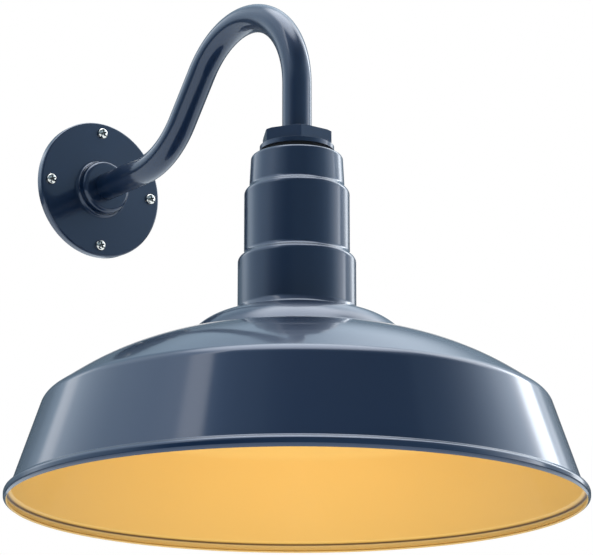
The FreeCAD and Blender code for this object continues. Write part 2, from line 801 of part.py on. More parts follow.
terminals = cross_screws("terminal_screws", "terminal_screw", "terminal_circle", "holder_top",
                         "terminal_screw_length", "terminal_count")
terminals.Placement.Rotation = FreeCAD.Rotation(Vector(0, 0, 1), 0)
on_shade_axis(terminals)
bind(terminals, Placement__Rotation__Angle="terminal_turn")


def wave_radius(index):
    return "shell_outer" if index % 2 == 0 else "shell_valley"


# the shell's outer line has straight-sided waves up to its closed top
shell_corners = [(wave_radius(0), "shell_foot", None)]
shell_corners += [(wave_radius(step), "wave_%d" % step, None) for step in range(1, wave_count)]
shell_corners.append((wave_radius(0), "shell_top", None))
shell_corners.append(("shell_hole", "shell_top", None))
on_shade_axis(keep(spun_sheet("screw_shell", shell_corners, "shell_sheet"), "screw_shell"))

contact = on_shade_axis(new_body("centre_contact"))
contact_line = body_sketch(contact, "contact_outline", [
    ("-contact_half_span", "well_top", None),
    ("contact_step", "well_top", None),
    ("contact_step", "contact_foot", None),
    ("-contact_tongue", "contact_foot", None),
    ("-contact_tongue", "contact_face", None),
    ("contact_tongue", "contact_face", None),
    ("contact_tongue", "contact_seat", None),
    ("-contact_half_span", "contact_seat", None),
])
contact_strip = contact.newObject("PartDesign::Pad", "contact_strip")
contact_strip.Profile = contact_line
contact_strip.Midplane = True
bind(contact_strip, Length="contact_width")


# ---- leads ----

def rounded_path(points, radii):
    """A wire of straight runs through points, each inner corner rounded with its own radius."""
    edges = []
    here = points[0]
    for before, corner, after, radius in zip(points, points[1:], points[2:], radii):
        back = (before - corner).normalize()
        ahead = (after - corner).normalize()
        half = back.getAngle(ahead) / 2
        start = corner + back * (radius / math.tan(half))
        finish = corner + ahead * (radius / math.tan(half))
        centre = corner + (back + ahead).normalize() * (radius / math.sin(half))
        middle = centre + (corner - centre).normalize() * radius
        edges.append(Part.LineSegment(here, start).toShape())
        edges.append(Part.Arc(start, middle, finish).toShape())
        here = finish
    edges.append(Part.LineSegment(here, points[-1]).toShape())
    return Part.Wire(edges)


def lead(label, points, radii):
    """A round lead swept along its path, in the frame of the whole sconce."""
    path = rounded_path(points, radii)
    heading = (points[1] - points[0]).normalize()
    rim = Part.Wire([Part.makeCircle(number("lead_radius"), points[0], heading)])
    sweep = path.makePipeShell([rim], True, True)
    section = math.pi * number("lead_radius") ** 2
    print(label, "length %.1f, volume over section and length %.4f"
          % (path.Length, sweep.Volume / (section * path.Length)), flush=True)
    feature = doc.addObject("Part::Feature", label)
    feature.Shape = sweep
    return keep(feature, label)


def above_lip(x, y, height):
    return Vector(x, y - number("reach"), number("lip_level") + height)


def along_arm(x):
    """The last corners of every lead: up the drop, over the bend and out to the wall plate."""
    return [Vector(x, -number("reach"), number("drop_corner")),
            Vector(x, -number("rise_corner"), 0),
            Vector(x, -number("lead_end_depth"), 0)]


def line_lead(label, side):
    """A lead from a terminal screw: up, across to the wireway, then up and along the arm."""
    across = side * number("terminal_across")
    back = side * number("terminal_back")
    inset = -side * number("lead_spread")
    climb = number("terminal_top") + number("lead_climb")
    gather = number("spigot_foot") - number("lead_gather")
    points = [above_lip(across, back, number("terminal_top")),
              above_lip(across, back, climb),
              above_lip(inset, 0, gather)]
    points += along_arm(inset)
    bends = [number("lead_bend"), number("lead_bend"), number("bend_radius"),
             number("bend_radius")]
    return lead(label, points, bends)


line_lead("live_lead", 1)
line_lead("neutral_lead", -1)

ground_out = -number("ground_screw_place")
ground_turn = number("holder_top") + number("ground_lead_sag")
ground_points = [above_lip(0, ground_out, number("ground_screw_head")),
                 above_lip(0, ground_out, ground_turn),
                 above_lip(0, 0, ground_turn)]
lead("ground_lead", ground_points + along_arm(0),
     [number("ground_lead_bend"), number("ground_lead_bend"), number("bend_radius"),
      number("bend_radius")])


# ---- lamp ----

cap = turned("lamp_cap", [
    (None, "cap_foot", None),
    ("cap_thread_radius", "cap_foot", None),
    ("cap_thread_radius", "cap_rim_top", None),
    ("cap_core_radius", "cap_rim_top", None),
    ("cap_core_radius", "cap_top", "cap_shoulder_round"),
    (None, "cap_top", None),
])
thread_section = body_sketch(cap, "thread_section", [
    ("thread_root", "thread_start", None),
    ("cap_thread_radius", "thread_crest_foot", None),
    ("cap_thread_radius", "thread_crest_top", None),
    ("thread_root", "thread_top", None),
])
thread = cap.newObject("PartDesign::AdditiveHelix", "cap_thread")
thread.Profile = thread_section
thread.ReferenceAxis = (thread_section, ["V_Axis"])
thread.Mode = 0
thread.Angle = 0
bind(thread, Pitch="cap_thread_pitch", Height="cap_thread_height")

turned("lamp_insulator", [
    (None, "cap_top", None),
    ("insulator_foot_radius", "cap_top", None),
    ("insulator_top_radius", "insulator_top", None),
    (None, "insulator_top", None),
])
turned("lamp_tip", [
    (None, "insulator_top", None),
    ("tip_radius", "insulator_top", None),
    ("tip_radius", "tip_top", "tip_round"),
    (None, "tip_top", None),
])
on_shade_axis(keep(spun_sheet("lamp_housing", [
    ("housing_rim_radius", "housing_foot", None),
    ("housing_rim_radius", "housing_rim", "housing_rim_round"),
    ("housing_waist_radius", "housing_waist", "housing_waist_round"),
    ("housing_top_radius", "cap_foot", None),
], "housing_sheet"), "lamp_housing"))
on_shade_axis(keep(spun_sheet("lamp_globe", [
    (None, "globe_foot", None),
    ("globe_radius", "globe_foot", "globe_round"),
    ("globe_radius", "globe_shoulder", "globe_shoulder_round"),
    ("globe_top_radius", "housing_foot", None),
], "globe_sheet"), "lamp_globe"))

board = on_shade_axis(new_body("led_board"))
solid(board, "AdditiveCylinder", "board_disc", (None, None, "led_board_foot"),
      Radius="led_board_radius", Height="led_board_thickness")

leds = on_shade_axis(new_body("led_chips"))
chip = solid(leds, "AdditiveBox", "led_chip", ("led_inside", "-led_half", "led_foot"),
             Length="led_side", Width="led_side", Height="led_height")
ring(leds, "led_ring", [chip], "led_count")

driver = on_shade_axis(new_body("driver_board"))
solid(driver, "AdditiveBox", "driver_sheet",
      ("-driver_half_width", "-driver_half_thickness", "led_board_top"),
      Length="driver_width", Width="driver_thickness", Height="driver_height")


# ---- every piece is sound, then written out ----

doc.recompute()
for thing in doc.Objects:
    assert not {"Invalid", "Error"} & set(thing.State), thing.Label + " failed"
os.makedirs("parts", exist_ok=True)
for piece in pieces:
    assert not piece.Shape.isNull(), piece.Label + " is empty"
    assert piece.Shape.isValid(), piece.Label + " is not valid"
    box = piece.Shape.BoundBox
    print("%-18s solids %2d  volume %10.1f  x %.1f..%.1f  y %.1f..%.1f  z %.1f..%.1f"
          % (piece.Label, len(piece.Shape.Solids), piece.Shape.Volume, box.XMin, box.XMax,
             box.YMin, box.YMax, box.ZMin, box.ZMax), flush=True)
    piece.Shape.exportStep("parts/%s.step" % piece.Label)
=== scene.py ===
import json
import math
import bmesh
import bpy
from mathutils import Matrix, Vector


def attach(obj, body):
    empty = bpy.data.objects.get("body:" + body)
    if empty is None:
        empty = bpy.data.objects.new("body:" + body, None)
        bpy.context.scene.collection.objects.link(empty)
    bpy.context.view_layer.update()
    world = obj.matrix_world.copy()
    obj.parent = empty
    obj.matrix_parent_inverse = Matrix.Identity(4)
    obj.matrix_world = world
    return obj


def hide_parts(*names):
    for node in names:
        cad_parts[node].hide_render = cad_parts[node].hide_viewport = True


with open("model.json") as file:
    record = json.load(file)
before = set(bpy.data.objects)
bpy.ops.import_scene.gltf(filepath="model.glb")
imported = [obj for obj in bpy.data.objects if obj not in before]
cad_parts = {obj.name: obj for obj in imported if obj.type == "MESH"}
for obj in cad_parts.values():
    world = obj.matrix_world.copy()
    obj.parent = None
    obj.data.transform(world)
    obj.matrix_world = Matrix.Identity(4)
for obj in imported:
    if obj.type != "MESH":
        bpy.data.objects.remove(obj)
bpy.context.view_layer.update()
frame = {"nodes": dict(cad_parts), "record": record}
cadNodes = frame["nodes"]
slotOf = {entry["node"]: entry["material_slot"] for entry in frame["record"]["subparts"]}
bodyOf = {node: body for body, nodes in frame["record"]["behaviour"]["bodies"].items()
          for node in nodes}
print("frame loaded with", len(cadNodes), "nodes")

reach = 0.2707          # shade's axis, out from the wall
lipLevel = -0.29434     # plane of the shade's lip, from the wall plate's centre
weldGap = 1e-5          # points nearer than this become one
axisGap = 1e-5          # a solid outline stays this far from its axis


# shader maths: a wrapped socket, so that 1 - mask adds a Math node
class Wire:
    def __init__(self, nodes, socket):
        self.nodes = nodes
        self.socket = socket

    def maths(self, operation, *values):
        return self.nodes.add("ShaderNodeMath", {"operation": operation}, dict(enumerate(values)))

    def __add__(self, other):
        return self.maths("ADD", self, other)

    __radd__ = __add__

    def __sub__(self, other):
        return self.maths("SUBTRACT", self, other)

    def __rsub__(self, other):
        return self.maths("SUBTRACT", other, self)

    def __mul__(self, other):
        return self.maths("MULTIPLY", self, other)

    __rmul__ = __mul__


def fillRamp(ramp, stops):
    while len(ramp.elements) < len(stops):
        ramp.elements.new(1.0)
    for element, (position, colour) in zip(ramp.elements, stops):
        element.position = position
        element.color = colour


# any node tree: shader, geometry or world
class Nodes:
    def __init__(self, tree):
        self.tree = tree

    def put(self, node, inputs):
        for key, value in inputs.items():
            if isinstance(value, Wire):
                self.tree.links.new(value.socket, node.inputs[key])
            else:
                node.inputs[key].default_value = value

    def make(self, kind, settings=None, inputs=None):
        node = self.tree.nodes.new(kind)
        for key, value in (settings or {}).items():
            if key == "stops":
                fillRamp(node.color_ramp, value)
            else:
                setattr(node, key, value)
        self.put(node, inputs or {})
        return node

    def add(self, kind, settings=None, inputs=None, output=0):
        return Wire(self, self.make(kind, settings, inputs).outputs[output])

    def blend(self, factor, first, second):
        return self.add("ShaderNodeMix", {"data_type": "RGBA"}, {0: factor, 6: first, 7: second}, 2)

    def fade(self, value, start, end, kind="SMOOTHSTEP"):
        return self.add("ShaderNodeMapRange", {"interpolation_type": kind},
                        {"Value": value, "From Min": start, "From Max": end})


class Finish(Nodes):
    def __init__(self, name, **surface):
        self.material = bpy.data.materials.new(name)
        self.material.use_nodes = True
        super().__init__(self.material.node_tree)
        self.shader = self.tree.nodes["Principled BSDF"]
        self.put(self.shader, {key.replace("_", " "): value for key, value in surface.items()})

    def place(self):
        return self.add("ShaderNodeTexCoord", output="Object")

    def noise(self, scale, detail=2.0, where=None):
        return self.add("ShaderNodeTexNoise", {},
                        {"Vector": where or self.place(), "Scale": scale, "Detail": detail}, "Fac")

    def bump(self, height, distance):
        normal = self.add("ShaderNodeBump", {}, {"Height": height, "Distance": distance, "Strength": 1.0})
        self.put(self.shader, {"Normal": normal})

    def stretch(self, across, up):
        # coordinates stretched along one direction, for brushed and turned marks
        return self.add("ShaderNodeMapping", {}, {"Vector": self.place(), "Scale": (across, across, up)})


def rgb(red, green, blue):
    # a colour given as it shows on a screen, 0 to 255
    def linear(value):
        value /= 255
        return value / 12.92 if value <= 0.04045 else ((value + 0.055) / 1.055) ** 2.4
    return (linear(red), linear(green), linear(blue), 1.0)


# enamel: thin clouds of tone, and a fine orange peel in the clear coat
enamel = {
    "index": 1.5,
    "coatRoughness": 0.09,
    "cloudScale": 9.0,
    "cloudRoughness": 0.05,
    "peelScale": 380.0,
    "peelCoat": 0.1,
    "peelDepth": 0.000004,
}
navy = {"name": "navyEnamel", "light": rgb(5, 34, 64), "deep": rgb(4, 31, 59),
        "roughness": 0.38, "metallic": 0.5, "coat": 0.95}
yellow = {"name": "yellowEnamel", "light": rgb(217, 170, 83), "deep": rgb(213, 166, 79),
          "roughness": 0.55, "metallic": 0.0, "coat": 0.12}
# painted shading inside the lamp's shade: the height and half width of a painted shadow line in the fold
# above the lip, its dark colour, and the paler colour painted on the lip's band for how it is lit
paintedLipShading = {"height": lipLevel + 0.0061, "half": 0.0012, "colour": rgb(70, 42, 10),
          "lip": rgb(206, 170, 100), "lipEdge": 0.0004}


def enamelFinish(paint):
    finish = Finish(paint["name"], IOR=enamel["index"], Metallic=paint["metallic"],
                    Coat_Roughness=enamel["coatRoughness"])
    cloud = finish.noise(enamel["cloudScale"])
    peel = finish.noise(enamel["peelScale"])
    finish.put(finish.shader, {
        "Base Color": finish.blend(cloud, paint["light"], paint["deep"]),
        "Roughness": paint["roughness"] + enamel["cloudRoughness"] * (cloud - 0.5),
        "Coat Weight": paint["coat"] + enamel["peelCoat"] * (peel - 0.5),
    })
    finish.bump(peel, enamel["peelDepth"])
    return finish


def insideFinish():
    # yellow enamel, with painted light and shade: the lip's band is painted paler and greyer to stand in
    # for how it is lit, and a dark line painted above it stands in for the shadow in the fold
    finish = enamelFinish(yellow)
    base = Wire(finish, finish.shader.inputs["Base Color"].links[0].from_socket)
    height = finish.add("ShaderNodeSeparateXYZ", {}, {"Vector": finish.place()}, "Z")
    above = height - paintedLipShading["height"]
    # the lip's band below the fold, painted paler as painted light
    band = finish.fade(above, paintedLipShading["lipEdge"], -paintedLipShading["lipEdge"], "LINEAR")
    # the painted shadow line, darkest at the fold's height
    line = finish.fade(above.maths("ABSOLUTE", above), paintedLipShading["half"], 0.0)
    whole = finish.blend(band, base, paintedLipShading["lip"])
    finish.put(finish.shader, {"Base Color": finish.blend(line, whole, paintedLipShading["colour"])})
    return finish.material


def metalFinish(name, colour, worn, roughness, marks=(900.0, 900.0), depth=0.00001, metallic=1.0):
    # brushed or turned metal; marks are the grain's scales across and along Z
    blotchScale, grainRoughness = 120.0, 0.12
    finish = Finish(name, Metallic=metallic)
    brushed = finish.noise(1.0, 4.0, finish.stretch(*marks))
    blotch = finish.noise(blotchScale, 3.0)
    finish.put(finish.shader, {
        "Base Color": finish.blend(blotch, colour, worn),
        "Roughness": roughness + grainRoughness * (brushed - 0.5),
    })
    finish.bump(brushed, depth)
    return finish.material


def mouldedFinish(name, colour, shade, roughness, grain=1400.0, depth=0.00001, **surface):
    # plastic, rubber or glaze, with fine pits
    cloudScale, pitRoughness = 60.0, 0.08
    finish = Finish(name, **surface)
    cloud = finish.noise(cloudScale)
    pits = finish.noise(grain)
    finish.put(finish.shader, {
        "Base Color": finish.blend(cloud, colour, shade),
        "Roughness": roughness + pitRoughness * (pits - 0.5),
    })
    finish.bump(pits, depth)
    return finish.material


navyEnamel = enamelFinish(navy).material
yellowEnamel = insideFinish()
finishes = {
    "paint": navyEnamel,
    "gasket": mouldedFinish("gasketRubber", rgb(30, 30, 32), rgb(22, 22, 24), 0.72, 900.0, 0.00004),
    "bright_screw": metalFinish("brightScrew", rgb(238, 232, 222), rgb(220, 214, 204), 0.14),
    "zinc_steel": metalFinish("zincSteel", rgb(196, 199, 204), rgb(170, 174, 182), 0.34,
                              (1500.0, 200.0)),
    "green_screw": metalFinish("groundScrewPaint", rgb(46, 128, 70), rgb(38, 108, 58), 0.35,
                               metallic=0.5),
    "porcelain": mouldedFinish("porcelainGlaze", rgb(238, 236, 229), rgb(228, 225, 216), 0.16, 300.0,
                               0.00003, Coat_Weight=0.6, Coat_Roughness=0.05),
    "brass": metalFinish("rolledBrass", rgb(214, 178, 104), rgb(190, 150, 80), 0.28, (300.0, 1500.0)),
    "black_lead": mouldedFinish("blackLead", rgb(28, 28, 30), rgb(20, 20, 22), 0.42),
    "white_lead": mouldedFinish("whiteLead", rgb(232, 231, 226), rgb(222, 220, 214), 0.42),
    "green_lead": mouldedFinish("greenLead", rgb(40, 122, 62), rgb(32, 104, 52), 0.42),
    "lamp_metal": metalFinish("capAluminium", rgb(214, 215, 219), rgb(192, 194, 200), 0.3,
                              (200.0, 1500.0)),
    "lamp_glass": mouldedFinish("capInsulator", rgb(26, 25, 28), rgb(16, 16, 18), 0.14),
    "solder": metalFinish("tipSolder", rgb(190, 190, 194), rgb(160, 160, 166), 0.38, (500.0, 500.0),
                          0.00005),
    "lamp_plastic": mouldedFinish("lampPlastic", rgb(224, 224, 222), rgb(216, 216, 212), 0.34),
    "lamp_diffuser": mouldedFinish("lampDiffuser", rgb(222, 221, 216), rgb(216, 214, 208), 0.5),
    "board_metal": metalFinish("boardMetal", rgb(232, 233, 233), rgb(220, 221, 222), 0.5),
    "led_yellow": mouldedFinish("ledPhosphor", rgb(240, 208, 70), rgb(228, 190, 56), 0.3),
    "board_green": mouldedFinish("boardGreen", rgb(34, 104, 62), rgb(26, 86, 50), 0.36),
}
# painted shadow: a dark finish painted into the screws' cross recesses, where shade falls
recessShade = mouldedFinish("recessShade", rgb(52, 46, 44), rgb(38, 34, 34), 0.5)
print("finishes made:", len(finishes) + 2)


def setFinish(thing, material):
    thing.data.materials.clear()
    thing.data.materials.append(material)


def stand(name, data):
    # a new object in the scene, at the origin
    thing = bpy.data.objects.new(name, data)
    bpy.context.scene.collection.objects.link(thing)
    return thing


def builtMesh(thing):
    # the mesh that a thing's modifiers make
    graph = bpy.context.evaluated_depsgraph_get()
    return bpy.data.meshes.new_from_object(thing.evaluated_get(graph), depsgraph=graph)


def applyAll(thing):
    mesh = builtMesh(thing)
    thing.modifiers.clear()
    thing.data = mesh


def reshape(mesh, change):
    form = bmesh.new()
    form.from_mesh(mesh)
    change(form)
    form.to_mesh(mesh)
    form.free()


def sharpen(thing, degrees):
    # smooth faces, with hard edges where the turn is large
    def smooth(form):
        bmesh.ops.remove_doubles(form, verts=form.verts, dist=weldGap)
        for face in form.faces:
            face.smooth = True
        for edge in form.edges:
            edge.smooth = edge.calc_face_angle(0) < math.radians(degrees)
    reshape(thing.data, smooth)


# geometry trees: each takes a start mesh and named inputs, one of them its Finish
class Tree(Nodes):
    def __init__(self, name, inputs):
        super().__init__(bpy.data.node_groups.new(name, "GeometryNodeTree"))
        self.ask("Geometry", "INPUT", "Geometry")
        for title, kind in inputs.items():
            self.ask(title, "INPUT", kind)
        self.ask("Finish", "INPUT", "Material")
        self.ask("Geometry", "OUTPUT", "Geometry")
        self.source = self.make("NodeGroupInput")

    def ask(self, title, side, kind):
        self.tree.interface.new_socket(title, in_out=side, socket_type="NodeSocket" + kind)

    def given(self, title):
        return Wire(self, self.source.outputs[title])

    def close(self, geometry):
        real = self.add("GeometryNodeRealizeInstances", {}, {"Geometry": geometry})
        painted = self.add("GeometryNodeSetMaterial", {},
                           {"Geometry": real, "Material": self.given("Finish")})
        self.make("NodeGroupOutput", {}, {"Geometry": painted})
        return self.tree


def grow(name, start, group, values):
    # runs a tree on a start mesh and returns the result as a plain object
    source = stand(name + "Source", start)
    modifier = source.modifiers.new("tree", "NODES")
    modifier.node_group = group
    for item in group.interface.items_tree:
        if item.in_out == "INPUT" and item.name in values:
            modifier[item.identifier] = values[item.name]
    mesh = builtMesh(source)
    mesh.name = name
    bpy.data.objects.remove(source)
    return stand(name, mesh)


def spinTree():
    # turns a closed outline about Z; the outline is drawn as (distance from the ring, -height)
    tree = Tree("spinOutline", {"Segments": "Int", "Ring": "Float", "Flip": "Bool"})
    ring = tree.add("GeometryNodeCurvePrimitiveCircle", {},
                    {"Resolution": tree.given("Segments"), "Radius": tree.given("Ring")})
    outline = tree.add("GeometryNodeMeshToCurve", {}, {"Mesh": tree.given("Geometry")})
    skin = tree.add("GeometryNodeCurveToMesh", {}, {"Curve": ring, "Profile Curve": outline})
    turned = tree.add("GeometryNodeFlipFaces", {}, {"Mesh": skin, "Selection": tree.given("Flip")})
    return tree.close(tree.add("GeometryNodeSetShadeSmooth", {}, {"Geometry": turned}))


def sweepTree():
    # a tube along a drawn line
    tree = Tree("sweepTube", {"Radius": "Float", "Sides": "Int"})
    line = tree.add("GeometryNodeMeshToCurve", {}, {"Mesh": tree.given("Geometry")})
    rim = tree.add("GeometryNodeCurvePrimitiveCircle", {},
                   {"Resolution": tree.given("Sides"), "Radius": tree.given("Radius")})
    tube = tree.add("GeometryNodeCurveToMesh", {}, {"Curve": line, "Profile Curve": rim})
    return tree.close(tree.add("GeometryNodeSetShadeSmooth", {}, {"Geometry": tube}))


def circleTree():
    # copies of one screw, evenly on a circle
    tree = Tree("screwCircle", {"Screw": "Object", "Count": "Int", "Circle": "Float"})
    places = tree.add("GeometryNodeCurvePrimitiveCircle", {},
                      {"Resolution": tree.given("Count"), "Radius": tree.given("Circle")})
    screw = tree.add("GeometryNodeObjectInfo", {}, {"Object": tree.given("Screw")}, "Geometry")
    return tree.close(tree.add("GeometryNodeInstanceOnPoints", {},
                               {"Points": places, "Instance": screw}))


spinOutline = spinTree()
sweepTube = sweepTree()
screwCircle = circleTree()


def roundedLine(corners, stepAngle):
    # straight sides with rounded corners as a row of points; a corner is (across, up, round)
    spots = [Vector(corner[:2]) for corner in corners]
    points = []
    for index, corner in enumerate(corners):
        radius = corner[2]
        if not radius or index in (0, len(corners) - 1):
            points.append(spots[index])
            continue
        back = (spots[index - 1] - spots[index]).normalized()
        ahead = (spots[index + 1] - spots[index]).normalized()
        half = back.angle(ahead) / 2
        centre = spots[index] + (back + ahead).normalized() * (radius / math.sin(half))
        first = spots[index] + back * (radius / math.tan(half)) - centre
        last = spots[index] + ahead * (radius / math.tan(half)) - centre
        sweep = math.atan2(first.x * last.y - first.y * last.x, first.dot(last))
        steps = max(3, int(abs(math.degrees(sweep)) / stepAngle) + 1)
        for step in range(steps + 1):
            points.append(centre + Matrix.Rotation(sweep * step / steps, 2) @ first)
    return points


def sheetOutline(points, sheet):
    # the inner side of a sheet, on the left of its line's direction
    inner = []
    for index, point in enumerate(points):
        before = points[max(index - 1, 0)]
        after = points[min(index + 1, len(points) - 1)]
        into = (point - before).normalized() if index else (after - point).normalized()
        out = (after - point).normalized() if index < len(points) - 1 else into
        along = (into + out).normalized()
        side = Vector((-along.y, along.x))
        inner.append(point + side * (sheet / max(side.dot(Vector((-into.y, into.x))), 0.3)))
    return inner


def spin(name, outline, material, segments=192, ring=0.005):
    # outline is a closed loop of (radius, height), turned about Z
    area = sum(a.x * b.y - b.x * a.y for a, b in zip(outline, outline[1:] + outline[:1]))
    mesh = bpy.data.meshes.new(name)
    count = len(outline)
    mesh.from_pydata([(point.x - ring, -point.y, 0) for point in outline],
                     [(index, (index + 1) % count) for index in range(count)], [])
    return grow(name, mesh, spinOutline,
                {"Segments": segments, "Ring": ring, "Flip": area > 0, "Finish": material})


def settle(thing, turn, shift):
    # places a piece by its mesh, so the object itself stays at the origin
    thing.data.transform(Matrix.Translation(Vector(shift)) @ turn)
    thing.data.update()


shadeAxis = (0, -reach, lipLevel)
upright = Matrix.Identity(4)
outOfWall = Matrix.Rotation(math.radians(90), 4, "X")


def wear(thing, node):
    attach(thing, bodyOf[node])
    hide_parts(node)


sheet = 0.0012          # of the shade and the neck
crownLevel = 0.1343     # the shade's top, above its lip
crownHole = 0.0335

# shade: one sheet from the rolled lip up to the crown's hole, navy outside and yellow inside
shade = {
    "line": [(0.2012, 0, None), (0.2032, 0.0014, 0.0024), (0.2032, 0.0063, 0.003),
             (0.1985, 0.0087, 0.0008), (0.1778, 0.0705, 0.0125), (0.1261, 0.1062, 0.215),
             (0.0795, 0.115, 0.002), (0.0666, crownLevel, 0.04), (crownHole, crownLevel, None)],
    "stepAngle": 2.5,
    "segments": 288,
    "hardEdge": 40,
}


def paintInside(thing, outerCount, material):
    # faces spun from the second half of the outline belong to the inside
    thing.data.materials.append(material)
    loopCount = outerCount * 2
    for polygon in thing.data.polygons:
        places = [index % loopCount for index in polygon.vertices]
        low, high = min(places), max(places)
        inside = low >= outerCount or (low == 0 and high == loopCount - 1)
        polygon.material_index = 1 if inside else 0


shadeOuter = roundedLine(shade["line"], shade["stepAngle"])
shadeInner = sheetOutline(shadeOuter, sheet)
shadeShell = spin("shadeShell", shadeOuter + shadeInner[::-1], navyEnamel, shade["segments"])
settle(shadeShell, upright, shadeAxis)
paintInside(shadeShell, len(shadeOuter), yellowEnamel)
sharpen(shadeShell, shade["hardEdge"])
wear(shadeShell, "shade")
print("shade spun,", len(shadeShell.data.polygons), "faces")

# neck: stepped sheet, narrow at the top, flared where it stands on the crown
neck = {
    "foot": [(crownHole, crownLevel, None), (0.04215, crownLevel, 0.002)],
    "flare": [(crownHole, crownLevel, None), (0.0453, crownLevel, 0.0003), (0.0452, 0.1351, 0.0004),
              (0.0437, 0.1364, 0.004), (0.04215, 0.1402, 0.004)],
    "wall": [(0.04215, 0.1765, 0.0046), (0.03775, 0.1795, 0.0046), (0.03775, 0.2265, 0.0046),
             (0.0342, 0.2295, 0.0046), (0.033, 0.2533, 0.0028), (0.0142, 0.2533, None)],
    "stepAngle": 6.0,
    "hardEdge": 50,
}
neckOuter = roundedLine(neck["flare"] + neck["wall"], neck["stepAngle"])
neckInner = sheetOutline(roundedLine(neck["foot"] + neck["wall"], neck["stepAngle"]), sheet)
neckShell = spin("neckShell", neckOuter + neckInner[::-1], navyEnamel)
settle(neckShell, upright, shadeAxis)
sharpen(neckShell, neck["hardEdge"])
wear(neckShell, "neck_housing")

# wall plate: cast disc with a soft hub and a hollow back
plateFace = 0.008       # from the wall
plate = {
    "line": [(0.038, 0.0015, None), (0.0552, 0.0015, 0.0006), (0.0552, plateFace, 0.0016),
             (0.0214, plateFace, 0.003), (0.0212, 0.0176, 0.0036), (0.0107, 0.0176, None),
             (0.0107, 0.0047, None), (0.038, 0.0047, None)],
    "stepAngle": 6.0,
    "hardEdge": 40,
}
plateBody = spin("plateBody", roundedLine(plate["line"], plate["stepAngle"]), navyEnamel)
settle(plateBody, outOfWall, (0, 0, 0))
sharpen(plateBody, plate["hardEdge"])
wear(plateBody, "wall_plate")

# arm: one pipe, bent twice
arm = {
    "radius": 0.01065,
    "wall": 0.00277,
    "line": [(-0.0047, 0, None), (-0.10212, 0, 0.0686), (-reach, 0.20818, 0.0686),
             (-reach, -0.03564, None)],
    "stepAngle": 1.5,
    "sides": 64,
    "hardEdge": 40,
}
armPoints = roundedLine(arm["line"], arm["stepAngle"])
armLine = bpy.data.meshes.new("armLine")
armLine.from_pydata([(0, point.x, point.y) for point in armPoints],
                    [(index, index + 1) for index in range(len(armPoints) - 1)], [])
armPipe = grow("armPipe", armLine, sweepTube,
               {"Radius": arm["radius"], "Sides": arm["sides"], "Finish": navyEnamel})
bore = armPipe.modifiers.new("bore", "SOLIDIFY")
bore.thickness = arm["wall"]
bore.offset = -1
applyAll(armPipe)
sharpen(armPipe, arm["hardEdge"])
wear(armPipe, "gooseneck_arm")
print("neck, plate and arm made")

# wall screws: one pan head and shank with a cross recess, its seat at zero height
wallScrew = {
    "line": [(axisGap, -0.0145, None), (0.00208, -0.0145, 0.0003), (0.00208, 0, None),
             (0.0042, 0, None), (0.0042, 0.00186, 0.00135), (0.00231, 0.003, 0.00504),
             (axisGap, 0.003, None)],
    "top": 0.003,
    "recessArm": 0.0052,
    "recessWidth": 0.0012,
    "recessDepth": 0.0016,
    "turn": 20,
    "count": 4,
    "circle": 0.0466,
    "stepAngle": 10.0,
    "segments": 40,
    "ring": 0.002,
    "hardEdge": 35,
}


def crossBars(form):
    # two crossed bars, which cut the recess
    long, short = wallScrew["recessArm"], wallScrew["recessWidth"]
    for across, along in ((long, short), (short, long)):
        bar = bmesh.ops.create_cube(form, size=1.0)["verts"]
        bmesh.ops.scale(form, vec=(across, along, wallScrew["recessDepth"] * 2), verts=bar)
        bmesh.ops.translate(form, vec=(0, 0, wallScrew["top"]), verts=bar)


def crossScrew(name):
    screw = spin(name, roundedLine(wallScrew["line"], wallScrew["stepAngle"]),
                 finishes["bright_screw"], wallScrew["segments"], wallScrew["ring"])
    cutter = bpy.data.meshes.new(name + "Cross")
    reshape(cutter, crossBars)
    # the recess's faces take the painted shadow
    for face in cutter.polygons:
        face.material_index = 1
    for holder in (cutter, screw.data):
        while len(holder.materials) < 2:
            holder.materials.append(recessShade)
    cross = stand(name + "Cross", cutter)
    cut = screw.modifiers.new("recess", "BOOLEAN")
    cut.operation = "DIFFERENCE"
    cut.object = cross
    cut.solver = "EXACT"
    cut.use_self = True
    applyAll(screw)
    bpy.data.objects.remove(cross)
    sharpen(screw, wallScrew["hardEdge"])
    settle(screw, Matrix.Rotation(math.radians(wallScrew["turn"]), 4, "Z"), (0, 0, 0))
    return screw


def screwRing(name, screw):
    ring = grow(name, bpy.data.meshes.new(name), screwCircle,
                {"Screw": screw, "Count": wallScrew["count"], "Circle": wallScrew["circle"],
                 "Finish": finishes["bright_screw"]})
    # the copies keep the faces' order, so the recess is found again by its place in one screw and gets
    # its painted shadow
    ring.data.materials.append(recessShade)
    faces = [polygon.material_index for polygon in screw.data.polygons]
    for polygon in ring.data.polygons:
        polygon.material_index = faces[polygon.index % len(faces)]
    settle(ring, outOfWall, (0, -plateFace, 0))
    wear(ring, "wall_screws")


wallScrewShape = crossScrew("wallScrewShape")
screwRing("wallScrewHeads", wallScrewShape)
bpy.data.objects.remove(wallScrewShape)
print("wall screws set")

# the rest keep their forms from the frame, as merged and smoothed copies, some with fine bevels
dressed = {"hardEdge": 28, "flatEdge": 1,
           "bevels": {"hex_hub": 0.0006, "neck_locknut": 0.0004, "holder_bracket": 0.0003}}


def joinFlats(form):
    bmesh.ops.dissolve_limit(form, angle_limit=math.radians(dressed["flatEdge"]), verts=form.verts,
                             edges=form.edges)


def dress(node):
    thing = stand(node.replace("_", "-") + "-form", cadNodes[node].data.copy())
    sharpen(thing, dressed["hardEdge"])
    setFinish(thing, finishes[slotOf[node]])
    if node in dressed["bevels"]:
        reshape(thing.data, joinFlats)
        bevel = thing.modifiers.new("edges", "BEVEL")
        bevel.width = dressed["bevels"][node]
        bevel.segments = 2
        bevel.limit_method = "ANGLE"
        bevel.angle_limit = math.radians(dressed["hardEdge"])
        bevel.harden_normals = True
    wear(thing, node)


made = {"shade", "neck_housing", "wall_plate", "gooseneck_arm", "wall_screws"}
for node in sorted(set(cadNodes) - made):
    dress(node)
print("other pieces dressed")

